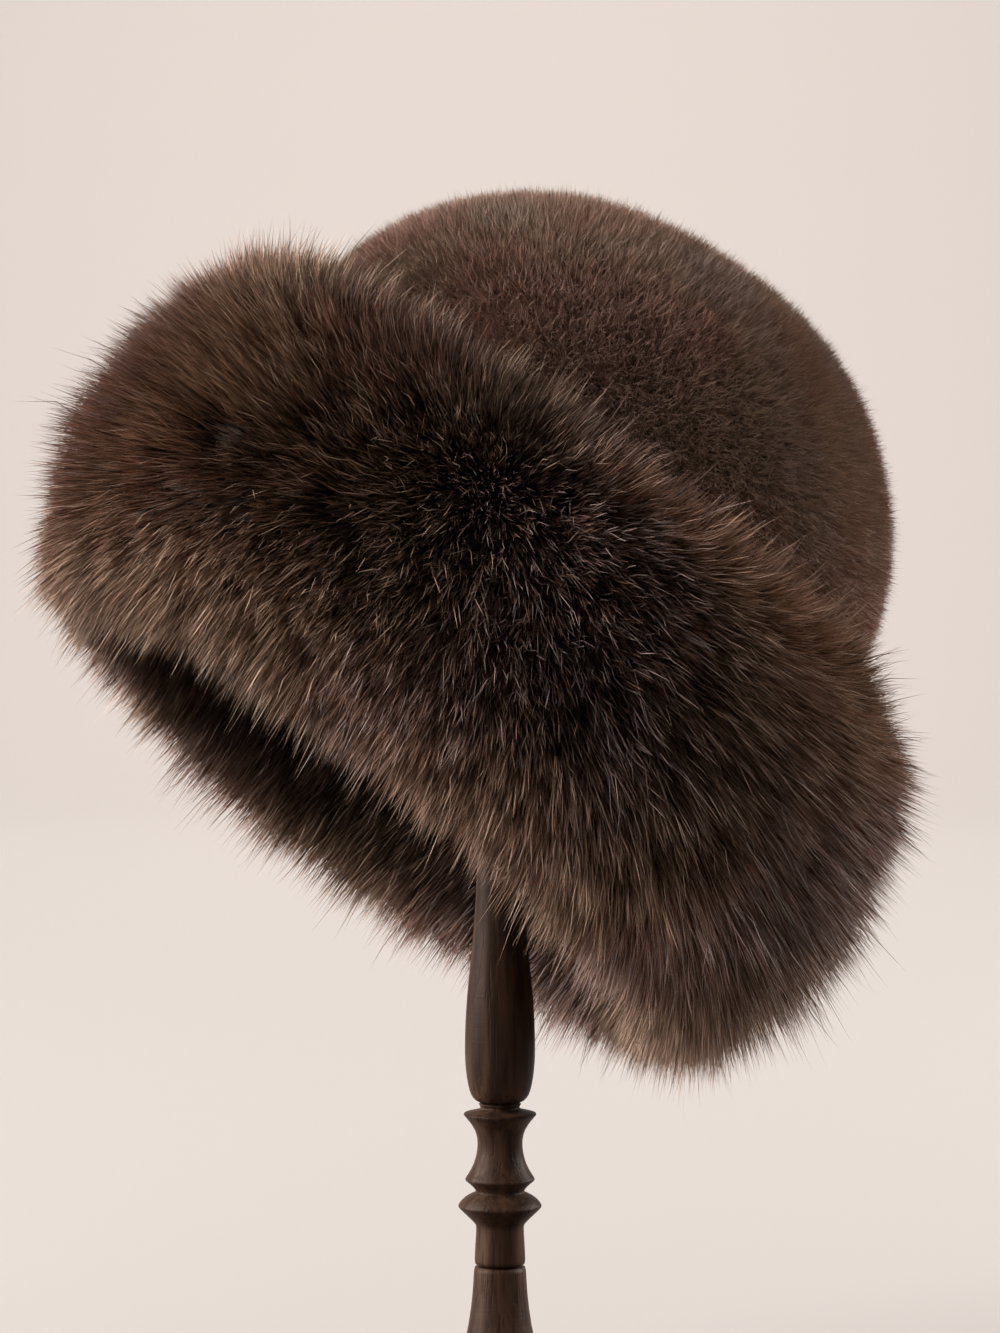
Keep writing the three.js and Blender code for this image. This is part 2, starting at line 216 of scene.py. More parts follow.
class Finish:
    """A material with its nodes, ending in one principled shader."""

    def __init__(self, name):
        self.material = bpy.data.materials.new(name)
        self.material.use_nodes = True
        self.tree = self.material.node_tree
        self.shader = self.tree.nodes["Principled BSDF"]

    def node(self, kind, settings, sockets, output=0):
        """Adds a node: its settings first, then the values or links of its sockets."""
        made = self.tree.nodes.new(kind)
        for key, value in settings.items():
            if key == "stops":
                self.set_stops(made.color_ramp, value)
            else:
                setattr(made, key, value)
        for key, value in sockets.items():
            self.feed(made.inputs[key], value)
        return Wire(self, made.outputs[output])

    def set_stops(self, ramp, stops):
        while len(ramp.elements) < len(stops):
            ramp.elements.new(0.5)
        for element, (position, colour) in zip(ramp.elements, stops):
            element.position = position
            element.color = colour

    def feed(self, socket, value):
        if isinstance(value, Wire):
            self.tree.links.new(value.socket, socket)
        else:
            socket.default_value = value

    def mix(self, factor, first, second):
        """A colour between two others."""
        settings = {"data_type": "RGBA", "clamp_factor": True}
        return self.node("ShaderNodeMix", settings, {0: factor, 6: first, 7: second}, output=2)

    def ramp(self, value, low, high):
        """0 below low, 1 above high, and smooth between them."""
        settings = {"interpolation_type": "SMOOTHSTEP"}
        return self.node("ShaderNodeMapRange", settings, {0: value, 1: low, 2: high})

    def noise(self, stretch, scale, detail):
        """A random pattern that is fixed to the object: drawn out by stretch, and finer with scale."""
        spot = self.node("ShaderNodeTexCoord", {}, {}, output="Object")
        stretched = self.node("ShaderNodeMapping", {}, {"Vector": spot, "Scale": stretch})
        sockets = {"Vector": stretched, "Scale": scale, "Detail": detail, "Roughness": NOISE_ROUGHNESS}
        return self.node("ShaderNodeTexNoise", {}, sockets)

    def bump(self, height, distance):
        """Gives the surface a fine relief, up to distance high."""
        relief = self.node("ShaderNodeBump", {}, {"Height": height, "Distance": distance, "Strength": 1.0})
        self.feed(self.shader.inputs["Normal"], relief)


def stained_wood():
    """Fine upright grain, darker pores, and lathe marks that can hardly be felt."""
    finish = Finish("stained_wood")
    grain = finish.noise(**GRAIN)
    pores = finish.ramp(finish.noise(**PORES), *PORE_RANGE)
    wear = finish.ramp(finish.noise(**WEAR), *WEAR_RANGE)
    tint = finish.ramp(grain * GRAIN_SHARE + finish.noise(**FIGURE) * (1 - GRAIN_SHARE), *TINT_RANGE)
    colour = finish.mix(tint, WOOD_DARK, WOOD_LIGHT)
    colour = finish.mix(wear * WEAR_SHARE, colour, WOOD_WORN)
    colour = finish.mix((1 - pores) * PORE_SHARE, colour, WOOD_DARK)
    finish.feed(finish.shader.inputs["Base Color"], colour)
    finish.feed(finish.shader.inputs["Roughness"], WOOD_ROUGHNESS[0] + grain * WOOD_ROUGHNESS[1])
    finish.bump(pores * PORE_RELIEF + finish.noise(**LATHE_MARKS) * (1 - PORE_RELIEF), WOOD_RELIEF)
    finish.shader.inputs["Specular IOR Level"].default_value = WOOD_SPECULAR
    finish.shader.inputs["Specular Tint"].default_value = WOOD_GLOSS
    return finish.material


def turn(name, outline, sides):
    """Turns a closed piece from its outline of radius and height, and smooths it once."""
    made = spin_outline(name, outline, sides, PIECE_WELD)
    surface = made.modifiers.new("smooth", "SUBSURF")
    surface.levels = 1
    surface.render_levels = 1
    bpy.ops.object.modifier_apply(modifier=surface.name)
    return made


foot_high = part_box("stand_foot")[1]
foot_radius = foot_high[0]
foot_height = foot_high[2]
FOOT_ROWS = [
    (0, 0), (foot_radius * 0.6, 0), (foot_radius - 0.0075, 0), (foot_radius - 0.0045, 0.0003),
    (foot_radius - 0.0008, 0.0030), (foot_radius, 0.0062), (foot_radius - 0.0010, 0.0092),
    (foot_radius - 0.0050, 0.0117), (foot_radius - 0.0100, 0.0124), (0.058, 0.0134), (0.040, 0.0150),
    (0.026, 0.0180), (0.0175, 0.0235), (0.0125, 0.0320), (0.0098, 0.0430), (0.0085, 0.0540),
    (0.0082, foot_height - 0.0004), (0.0079, foot_height), (0, foot_height),
]
LOWER_ROWS = [
    (0, 0.0624), (0.0078, 0.0624), (0.0081, 0.0628), (0.0077, 0.0700), (0.0074, 0.0746), (0.0078, 0.0754),
    (0.0105, 0.0780), (0.0128, 0.0802), (0.01315, 0.0807), (0.01315, 0.0812), (0.0127, 0.0819),
    (0.0114, 0.0834), (0.0092, 0.0847), (0.0077, 0.0852), (0.0076, 0.0859), (0.0088, 0.0873),
    (0.0107, 0.0888), (0.01095, 0.0891), (0.01095, 0.0895), (0.0107, 0.0899), (0.0089, 0.0926),
    (0.0076, 0.0958), (0.0069, 0.1000), (0.0073, 0.1036), (0.0087, 0.1064), (0.0111, 0.1092),
    (0.01145, 0.1096), (0.01145, 0.1100), (0.0111, 0.1103), (0.0078, 0.1110), (0.0062, 0.1115),
    (0.0061, 0.1122), (0.0067, 0.1130), (0.0067, 0.1134), (0, 0.1134),
]
upper_low, upper_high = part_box("stand_upper_spindle")
UPPER_ROWS = [
    (0, upper_low[2]), (0.0068, upper_low[2]), (0.0072, 0.1139), (0.0085, 0.1148), (0.0096, 0.1168),
    (0.0105, 0.1212), (0.0110, 0.1262), (0.0111, 0.1310), (0.0109, 0.1390), (0.0104, 0.1470),
    (0.0095, 0.1555), (0.0086, 0.1640), (0.0079, 0.1730), (0.0074, 0.1830), (0.0071, 0.1960),
    (0.0068, 0.2400), (0.0066, 0.3000), (0.0064, upper_high[2] - 0.0006), (0.0064, upper_high[2]),
    (0, upper_high[2]),
]
# The head's heights are counted from its top, and so are below 0.
head_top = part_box("stand_head")[1][2]
HEAD_ROWS = [
    (0, -0.0300), (0.0094, -0.0300), (0.0100, -0.0295), (0.0102, -0.0250), (0.0130, -0.0222),
    (0.0200, -0.0208), (0.0262, -0.0205), (0.0290, -0.0198), (0.0306, -0.0172), (0.0303, -0.0145),
    (0.0286, -0.0126), (0.0250, -0.0100), (0.0195, -0.0059), (0.0130, -0.0026), (0.0065, -0.0006),
    (0, 0),
]
wood = stained_wood()
for node_name, rows in (
    ("stand_foot", FOOT_ROWS),
    ("stand_lower_spindle", LOWER_ROWS),
    ("stand_upper_spindle", UPPER_ROWS),
    ("stand_head", [(radius, height + head_top) for radius, height in HEAD_ROWS]),
):
    turned_piece = turn("turned_" + node_name, rows, SPINDLE_SIDES)
    turned_piece.data.materials.append(wood)
    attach(turned_piece, "root")
    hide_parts(node_name)


# The crown: a dome of hide with a dense short pile, sewn round the head size. The hide is a
# wall 1.5 mm thick, and its hairs stand out from it, combed a little towards the brim.
LEAN_RIGHT = math.radians(36)
LEAN_BACK = math.radians(12.5)
DEPTH_RATIO = 0.95
HAT_PLACE = (
    Matrix.Translation(HAT_CENTRE)
    @ Matrix.Rotation(LEAN_RIGHT, 4, "Y")
    @ Matrix.Rotation(-LEAN_BACK, 4, "X")
)
CROWN_OUTLINE = [
    (0, 0.129), (0.014, 0.1285), (0.028, 0.127), (0.041, 0.1238), (0.053, 0.1195), (0.0675, 0.1112),
    (0.080, 0.1000), (0.0893, 0.0898), (0.096, 0.0790), (0.1015, 0.0668), (0.105, 0.0540),
    (0.1055, 0.0380), (0.1045, 0.0200), (0.1035, -0.0025), (0.103, -0.0245),
]
CROWN_DENTS = [
    {"bearing": 250, "height": 0.112, "spread": 0.034, "depth": 0.0024},
    {"bearing": 20, "height": 0.092, "spread": 0.030, "depth": 0.0022},
    {"bearing": 130, "height": 0.098, "spread": 0.038, "depth": 0.0028},
    {"bearing": 320, "height": 0.084, "spread": 0.026, "depth": 0.0018},
]
# From the pile's outside to the inside of the hide.
CROWN_WALL = 0.009
CROWN_SIDES = 48
PILE_LENGTH = 0.0085
# The hairs lean, so the pile is this much less deep than they are long.
PILE_SETTLES = 0.001
PILE_PER_PIECE = 150000
PILE_WIDTH = 0.00040
PILE_COMB = 0.42
PILE_TUFT = 0.0042
# How the pile's hairs differ: what all have in common, and how much their tuft and they themselves
# add to it.
PILE_LEANS = {"tuft": 0.36, "hair": 0.45}
PILE_LENGTHS = {"all": 0.84, "tuft": 0.18, "hair": 0.24}
PILE_TONES = {"all": 0.47, "tuft": 0.22, "hair": 0.18}
PILE_WIDTHS = {"all": 0.8, "hair": 0.4}
PILE_HUE_STRAY = 0.1
# How far the flat side of a hair may turn from facing out of the crown.
PILE_TWIST = 0.35
# A few hairs stand out beyond the rest: their share, and how much longer, darker and thinner they are.
STRAY_SHARE = 0.12
STRAY_LENGTH = 1.22
STRAY_DARKER = 0.10
STRAY_THINNER = 0.3
# The lowest pile, under the brim's fur. A face of the hide is outside if it faces away from the middle.
PILE_LOWEST = 0.028
CROWN_MIDDLE = 0.02
# Painted light: the pile is paler in a ring just above the brim, against the shade that the brim's
# fur casts there.
PAINTED_LIGHT_RING = {"height": 0.045, "spread": 0.03, "tone": 0.10}
PATCH_SIZE = 0.028
PATCH_WAVES = 24
PATCH_WAVE_RATE = 2.2
HUE_COUNT = 4
# Where the random field of the patches, with the tints added, passes from one hue to the next.
PILE_LIMITS = [-0.1, 0.3, 0.72]
HIDE_COLOUR = (0.020, 0.012, 0.0085, 1)
HIDE_PALE = (0.045, 0.029, 0.021, 1)
HIDE_GRAIN = {"stretch": (1, 1, 1), "scale": 420, "detail": 4}
HIDE_TINT_RANGE = (0.35, 0.7)
HIDE_ROUGHNESS = (0.85, 0.1)
HIDE_RELIEF = 0.0006
# The fur's hues, in patches, and how light its hairs are from the darkest to the palest.
PILE_HUES = [(0.120, 0.0825, 0.065), (0.122, 0.082, 0.058), (0.126, 0.077, 0.055), (0.132, 0.076, 0.057)]
PILE_LEVELS = [(0.0, 0.8), (0.4, 1.75), (0.75, 2.3), (1.0, 3.0)]
PILE_ROOT = (0.052, 0.031, 0.022, 1)
# Between these shares of its length a hair goes from the root's colour to its own.
PILE_ROOT_RANGE = (-0.1, 0.8)
HAIR_ROUGHNESS = 0.55
HAIR_SPECULAR = 0.18
# How much of its width a hair still has before its tip. On the map a hair is a narrow upright strip,
# and tones and colour stops stay a little inside their hue's part of the map.
HAIR_TAPER = 0.6
STRIPS_ACROSS_MAP = 160
TONE_LIMITS = (0.03, 0.97)
STOP_MARGIN = 0.001
# Painted light and shade on the pile: darker places, such as the shade behind the brim's fringe, and
# paler ones, such as the lit right side. Each has a bearing in degrees and a height in centimetres,
# their spreads, and the change of tone.
PILE_PAINTED_SHADE = [
    (262, 6.0, 16, 1.7, -0.25),
    (302, 8.0, 22, 2.8, 0.17),
    (226, 7.2, 16, 2.0, -0.05),
    (211, 8.0, 11, 1.3, -0.14),
    (241, 4.9, 8, 1.1, 0.15),
]
# Where the pile takes a later hue, above 0, or an earlier one, in the same form. On the crown's right
# the earlier, greyer hues are a painted reflection of cool fill light; elsewhere the hues are its own.
PILE_TINTS_AND_COOL_FILL = [
    (274, 4.9, 26, 2.4, 0.42),
    (308, 8.5, 18, 2.8, -0.60),
    (222, 9.4, 36, 2.0, -0.50),
    (214, 5.8, 14, 1.4, 0.25),
    (272, 10.4, 28, 1.5, -0.38),
    (314, 8.6, 16, 2.4, -0.20),
    (307, 5.6, 13, 1.5, -0.60),
]
# Where the pile has been brushed round the hat, to its right.
PILE_BRUSHED = [(245, 11.0, 60, 2.6, 0.45)]
# A tuft's own random numbers are in a row of a table, which primes pick by the tuft's cell.
TUFT_TABLE_ROWS = 8192
TUFT_NUMBERS = 4
CELL_PRIMES = np.array([73856093, 19349663, 83492791])
TINY = 1e-9
rng = np.random.default_rng(36)
hat_turn = np.array(HAT_PLACE.to_3x3())
hat_axis = np.array(HAT_PLACE.to_3x3() @ Vector((0, 0, 1)))
hat_middle = np.array(HAT_CENTRE)


def unit(vectors):
    return vectors / np.maximum(np.linalg.norm(vectors, axis=-1, keepdims=True), TINY)


def on_hat(points):
    """Points of the upright hat, moved to where the hat leans on its stand."""
    return points @ hat_turn.T + hat_middle


def height_on_hat(points):
    return (points - hat_middle) @ hat_axis


def offset(rows, distance):
    """An outline moved outwards, away from the hat's middle, by its normals."""
    points = np.array(rows, dtype=float)
    along = unit(np.gradient(points, axis=0))
    moved = points + distance * np.stack([-along[:, 1], along[:, 0]], axis=1)
    moved[np.abs(points[:, 0]) < TINY, 0] = 0
    return [tuple(point) for point in moved]


def set_on_hat(piece):
    """Narrows an upright piece to the hat's depth and sets it aslant."""
    piece.data.transform(HAT_PLACE @ Matrix.Diagonal((1, DEPTH_RATIO, 1, 1)))
    piece.data.update()


def press_dents(piece):
    """Presses the soft dents into the upright crown."""
    heights = [row[1] for row in reversed(CROWN_OUTLINE)]
    radii = [row[0] for row in reversed(CROWN_OUTLINE)]
    points = np.empty(len(piece.data.vertices) * 3)
    piece.data.vertices.foreach_get("co", points)
    points = points.reshape(-1, 3)
    inward = np.zeros(len(points))
    for dent in CROWN_DENTS:
        bearing = math.radians(dent["bearing"])
        radius = np.interp(dent["height"], heights, radii)
        centre = np.array([radius * math.cos(bearing), radius * math.sin(bearing), dent["height"]])
        distance = np.linalg.norm(points - centre, axis=1)
        inward += dent["depth"] * np.exp(-((distance / dent["spread"]) ** 2))
    points -= unit(points) * inward[:, None]
    piece.data.vertices.foreach_set("co", points.ravel())


def scatter(piece, count, keep):
    """Random spots on a piece's faces, even over their area, and the faces' normals."""
    piece.data.calc_loop_triangles()
    triangles = np.array([tri.vertices[:] for tri in piece.data.loop_triangles])
    points = np.array([vertex.co[:] for vertex in piece.data.vertices])
    normals = np.array([vertex.normal[:] for vertex in piece.data.vertices])
    corners = points[triangles]
    triangles = triangles[keep(corners.mean(axis=1), normals[triangles].mean(axis=1))]
    corners = points[triangles]
    area = np.linalg.norm(np.cross(corners[:, 1] - corners[:, 0], corners[:, 2] - corners[:, 0]), axis=1)
    chosen = rng.choice(len(triangles), size=count, p=area / area.sum())
    share = rng.random((count, 2))
    share[share.sum(axis=1) > 1] = 1 - share[share.sum(axis=1) > 1]
    share = np.concatenate([1 - share.sum(axis=1, keepdims=True), share], axis=1)[:, :, None]
    spots = (corners[chosen] * share).sum(axis=1)
    return spots, unit((normals[triangles][chosen] * share).sum(axis=1))


def tuft_of(cells, seed, around=None):
    """The nearest of a jittered grid of tufts: its middle, in cells, and its own random numbers.

    Where around is given, the first coordinate comes round again after that many cells.
    """
    grid = np.floor(cells).astype(int)
    nearest = np.full(len(cells), np.inf)
    middle = np.zeros_like(cells)
    own = np.zeros((len(cells), TUFT_NUMBERS))
    dimensions = cells.shape[1]
    steps = np.stack(np.meshgrid(*[[-1, 0, 1]] * dimensions, indexing="ij"), -1).reshape(-1, dimensions)
    table = np.random.default_rng(seed).random((TUFT_TABLE_ROWS, dimensions + TUFT_NUMBERS))
    primes = CELL_PRIMES[:dimensions]
    for step in steps:
        cell = grid + step
        wrapped = cell.copy()
        if around:
            wrapped[:, 0] %= around
        row = table[(wrapped * primes).sum(axis=1) % len(table)]
        centre = cell + row[:, :dimensions]
        distance = np.linalg.norm(cells - centre, axis=1)
        closer = distance < nearest
        nearest[closer] = distance[closer]
        middle[closer] = centre[closer]
        own[closer] = row[closer, dimensions:]
    return middle, own


def patches(points, size, seed):
    """A smooth random field from 0 to 1, with patches about as wide as size."""
    chance = np.random.default_rng(seed)
    waves = chance.normal(size=(PATCH_WAVES, 3)) * PATCH_WAVE_RATE / size
    phases = chance.random(PATCH_WAVES) * 2 * math.pi
    field = np.cos(points @ waves.T + phases).sum(axis=1) / math.sqrt(PATCH_WAVES / 2)
    return 0.5 + 0.5 * np.tanh(field)


def in_patches(bearings, places, rows):
    """The sum of soft patches, at bearings round the hat and at places up or across it."""
    total = np.zeros(len(places))
    for bearing, place, around, across, amount in rows:
        turn_from = (np.degrees(bearings) - bearing + 180) % 360 - 180
        total += amount * np.exp(-((turn_from / around) ** 2) - ((places - place) / across) ** 2)
    return total


def hair_mesh(name, paths, widths, tones, hues, fronts):
    """Joins hairs into one mesh of narrow ribbons, each ending in a point.

    paths holds the points of each hair from root to tip, and fronts the way that its flat side
    turns. The map's u is the hair's hue and tone, each hue with an equal share of the map, and its
    v is the share of the hair's length.
    """
    count, points, _ = paths.shape
    along = unit(paths[:, -1] - paths[:, 0])
    sideways = unit(np.cross(along, fronts))
    taper = np.linspace(1, HAIR_TAPER, points - 1)
    half = (sideways * widths[:, None] * 0.5)[:, None] * taper[None, :, None]
    rows = np.stack([paths[:, :-1] - half, paths[:, :-1] + half], axis=2).reshape(count, -1, 3)
    vertices = np.concatenate([rows, paths[:, -1:]], axis=1)
    per_hair = vertices.shape[1]
    quads = [(2 * i, 2 * i + 1, 2 * i + 3, 2 * i + 2) for i in range(points - 2)]
    tip = [per_hair - 3, per_hair - 2, per_hair - 1]
    corners = np.array([corner for quad in quads for corner in quad] + tip)
    sizes = np.array([4] * len(quads) + [3])
    mesh = bpy.data.meshes.new(name)
    mesh.vertices.add(count * per_hair)
    mesh.vertices.foreach_set("co", vertices.ravel())
    mesh.loops.add(count * len(corners))
    loop_vertices = (corners[None] + np.arange(count)[:, None] * per_hair).ravel()
    mesh.loops.foreach_set("vertex_index", loop_vertices)
    mesh.polygons.add(count * len(sizes))
    loop_starts = np.concatenate([[0], np.cumsum(np.tile(sizes, count))[:-1]])
    mesh.polygons.foreach_set("loop_start", loop_starts)
    mesh.update(calc_edges=True)
    across = np.append(np.tile([-0.5, 0.5], points - 1), 0.0) / STRIPS_ACROSS_MAP
    v_share = np.append(np.repeat(np.linspace(0, 1, points)[:-1], 2), 1.0)
    u = (hues + np.clip(tones, *TONE_LIMITS))[:, None] / HUE_COUNT + across[corners][None]
    v = np.broadcast_to(v_share[corners][None], u.shape)
    layer = mesh.uv_layers.new(name="OFBake")
    layer.data.foreach_set("uv", np.stack([u, v], axis=-1).ravel())
    made = bpy.data.objects.new(name, mesh)
    bpy.context.scene.collection.objects.link(made)
    return made


def hair_finish(name, hues, levels, root, root_range):
    """Hair that is dark at the root and takes its own hue and tone towards the tip."""
    finish = Finish(name)
    spot = finish.node("ShaderNodeUVMap", {"uv_map": "OFBake"}, {})
    tone = finish.node("ShaderNodeSeparateXYZ", {}, {0: spot}, output="X")
    share = finish.node("ShaderNodeSeparateXYZ", {}, {0: spot}, output="Y")
    stops = [
        (
            (index + STOP_MARGIN + (1 - 2 * STOP_MARGIN) * position) / HUE_COUNT,
            (*(part * level for part in hue), 1),
        )
        for index, hue in enumerate(hues)
        for position, level in levels
    ]
    colour = finish.node("ShaderNodeValToRGB", {"stops": stops}, {0: tone})
    colour = finish.mix(finish.ramp(share, *root_range), root, colour)
    finish.feed(finish.shader.inputs["Base Color"], colour)
    finish.shader.inputs["Roughness"].default_value = HAIR_ROUGHNESS
    finish.shader.inputs["Specular IOR Level"].default_value = HAIR_SPECULAR
    return finish.material


def hide_finish():
    """Dark bare hide, paler and rougher where its fine grain stands up."""
    finish = Finish("hide")
    grain = finish.noise(**HIDE_GRAIN)
    colour = finish.mix(finish.ramp(grain, *HIDE_TINT_RANGE), HIDE_COLOUR, HIDE_PALE)
    finish.feed(finish.shader.inputs["Base Color"], colour)
    finish.feed(finish.shader.inputs["Roughness"], HIDE_ROUGHNESS[0] + grain * HIDE_ROUGHNESS[1])
    finish.bump(grain, HIDE_RELIEF)
    return finish.material


def outer_pile_faces(centres, normals):
    """Which faces of the hide carry pile: those on its outside, down to the lowest pile."""
    radial = centres - hat_middle - np.outer(height_on_hat(centres) - CROWN_MIDDLE, hat_axis)
    return ((normals * radial).sum(axis=1) > 0) & (height_on_hat(centres) > PILE_LOWEST)


hide = hide_finish()
hide_outer = offset(CROWN_OUTLINE, -PILE_LENGTH + PILE_SETTLES)
hide_inner = offset(CROWN_OUTLINE, -CROWN_WALL)
crown_hide = turn("crown_hide", hide_inner + hide_outer[::-1], CROWN_SIDES)
press_dents(crown_hide)
set_on_hat(crown_hide)
crown_hide.data.materials.append(hide)
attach(crown_hide, "root")
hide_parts("crown")

# Where the hairs of the pile are rooted, in order of height.
pile_finish = hair_finish("short_pile", PILE_HUES, PILE_LEVELS, PILE_ROOT, PILE_ROOT_RANGE)
pile_roots, pile_normals = scatter(crown_hide, PILE_PER_PIECE * 2, outer_pile_faces)
order = np.argsort(height_on_hat(pile_roots))
pile_roots, pile_normals = pile_roots[order], pile_normals[order]
pile_count = len(pile_roots)
upright_roots = (pile_roots - hat_middle) @ hat_turn
pile_bearings = np.arctan2(upright_roots[:, 1] / DEPTH_RATIO, upright_roots[:, 0])
pile_heights_cm = upright_roots[:, 2] * 100

# How they stand, and how long they are.
down_hat = -hat_axis[None] + pile_normals * (pile_normals @ hat_axis)[:, None]
round_crown = unit(np.cross(hat_axis, pile_normals))
brushed = in_patches(pile_bearings, pile_heights_cm, PILE_BRUSHED)[:, None]
_, tuft_own = tuft_of(pile_roots / PILE_TUFT, seed=5)
pile_stray = PILE_LEANS["tuft"] * (tuft_own[:, :3] - 0.5)
pile_stray = pile_stray + PILE_LEANS["hair"] * rng.normal(size=pile_roots.shape)
standing = unit(pile_normals + PILE_COMB * down_hat + brushed * round_crown + pile_stray)
pile_shares = PILE_LENGTHS["all"] + PILE_LENGTHS["tuft"] * tuft_own[:, 3]
pile_shares = pile_shares + PILE_LENGTHS["hair"] * (rng.random(pile_count) - 0.5)
pile_lengths = PILE_LENGTH * pile_shares
stray_hairs = rng.random(pile_count) < STRAY_SHARE
pile_lengths[stray_hairs] *= STRAY_LENGTH
pile_paths = np.stack([pile_roots, pile_roots + standing * pile_lengths[:, None]], axis=1)

# Their tones with painted light and shade, hues with a painted cool fill, widths and flat sides.
pile_tones = PILE_TONES["all"] + PILE_TONES["tuft"] * (tuft_own[:, 3] - 0.5)
pile_tones = pile_tones + PILE_TONES["hair"] * rng.normal(size=pile_count)
from_ring = (height_on_hat(pile_roots) - PAINTED_LIGHT_RING["height"]) / PAINTED_LIGHT_RING["spread"]
pile_tones += PAINTED_LIGHT_RING["tone"] * np.exp(-(from_ring ** 2)) - STRAY_DARKER * stray_hairs
pile_tones += in_patches(pile_bearings, pile_heights_cm, PILE_PAINTED_SHADE)
pile_patches = patches(pile_roots, PATCH_SIZE, seed=8) + PILE_HUE_STRAY * rng.normal(size=pile_count)
pile_patches += in_patches(pile_bearings, pile_heights_cm, PILE_TINTS_AND_COOL_FILL)
pile_hues = np.digitize(pile_patches, PILE_LIMITS)
pile_widths = PILE_WIDTH * (PILE_WIDTHS["all"] + PILE_WIDTHS["hair"] * rng.random(pile_count))
pile_widths = pile_widths * (1 - STRAY_THINNER * stray_hairs)
pile_fronts = pile_normals + PILE_TWIST * rng.normal(size=pile_roots.shape)
for half, name in enumerate(("crown_pile_lower", "crown_pile_upper")):
    chosen = slice(half * PILE_PER_PIECE, (half + 1) * PILE_PER_PIECE)
    pile = hair_mesh(name, pile_paths[chosen], pile_widths[chosen], pile_tones[chosen], pile_hues[chosen],
                     pile_fronts[chosen])
    pile.data.materials.append(pile_finish)
    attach(pile, "root")


# The brim's band: two layers of hide sewn into a firm ring round the crown. The fur hides it,
# apart from a strip of its inner face that shows from below.
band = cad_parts["brim_band"]
band.data.materials.clear()
band.data.materials.append(hide)


# The brim's fur: long soft hair in locks, on hide that wraps round the band. The hairs stand out
# all round it like the bristles of a roll, dark at the root and brown at the tip.
# Rows run from the crown over the outside and under to the inside: root radius and height, and tip.
FUR_ROLL = np.array([
    (0.1080, 0.014, 0.1095, 0.054),
    (0.1090, 0.014, 0.1285, 0.041),
    (0.1090, 0.012, 0.1435, 0.021),
    (0.1090, 0.003, 0.1490, 0.000),
    (0.1090, -0.011, 0.1505, -0.020),
    (0.1100, -0.026, 0.1510, -0.041),
    (0.1110, -0.042, 0.1450, -0.063),
    (0.1120, -0.052, 0.1320, -0.086),
    (0.1100, -0.053, 0.1175, -0.098),
    (0.1080, -0.052, 0.1050, -0.091),
    (0.1060, -0.044, 0.0980, -0.071),
    (0.1040, -0.034, 0.0970, -0.042),
])
ROLL_STEPS = 400
# The dense underfur is a solid roll up to this share of the hairs' length. The hairs that show start
# inside it, and its inner face wraps round the band.
UNDERFUR_SHARE = 0.46
UNDERFUR_SIDES = 64
BAND_SIDE_ROWS = [(0.1058, -0.030), (0.1063, -0.0525), (0.1115, -0.0525), (0.1095, 0.0155)]
HAIR_START = 0.40
FUR_PARTS = [("top", 0.05, 2.5), ("outer", 2.5, 4.6), ("lower", 4.6, 7.2), ("under", 7.2, 10.9)]
# The hairs gather into locks and finer wisps: how many there are round the hat, and the metres that
# each takes up across the roll. Their middles keep to the places given.
LOCKS = {"around": 96, "across": 0.0095, "seed": 21}
WISPS = {"around": 420, "across": 0.0022, "seed": 22}
LOCK_PULL = 0.16
TUFT_PLACES = (0.05, 10.95)
# How much their lock, their wisp and they themselves add to the hairs' leaning, bending and tone.
FUR_LEANS = {"lock": 0.17, "wisp": 0.26}
FUR_BENDS = {"wisp": 0.07, "hair": 0.022}
FUR_TONES = {"lock": 0.14, "wisp": 0.22, "hair": 0.13}
FUR_WIDTHS = {"all": 0.75, "hair": 0.5}
FUR_HUE_STRAY = 0.12
# The reach of the shortest lock and wisp, and what the longest has beyond it.
LOCK_REACH = (0.90, 0.14)
WISP_REACH = (0.94, 0.08)
# Hairs stray more beside the crown, and droop.
LOOSER_BY_CROWN = 0.8
FUR_DROOP = 0.10
# Painted shade: from this place inwards the fur is darkened, over so many rows and by so much, where
# the near brim and the crown shade the inside of the brim.
INSIDE_FROM = 8.2
INSIDE_FADE = 1.2
INSIDE_PAINTED_SHADE = 0.40
# The turn and the part of a row over which the roll's own directions are measured.
SMALL_TURN = 0.02
SMALL_ROW = 0.1
# All hairs lie a little askew round the hat, by this angle from root to tip.
FUR_TWIST = math.radians(2.2)
# Where the roll is fuller or flatter than a true ring. Each patch has a bearing and a place, its
# spread in degrees and rows, and the metres that the tips stand further out.
ROLL_SWELLS = [
    (164, 6.9, 34, 1.9, -0.0155),
    (2, 5.3, 30, 2.2, 0.0078),
    (356, 1.9, 16, 0.8, 0.0031),
    (10, 8.4, 26, 1.0, -0.0050),
    (199, 1.0, 24, 1.6, 0.0056),
    (347, 0.4, 17, 0.8, -0.0080),
    (326, 0.3, 13, 0.9, 0.0040),
    (272, 0.7, 38, 1.4, -0.0065),
    (258, 7.3, 44, 1.4, -0.0105),
    (102, 8.9, 12, 1.1, 0.0040),
    (198, 6.0, 12, 1.3, 0.0034),
    (343, 2.9, 11, 1.3, 0.0024),
]
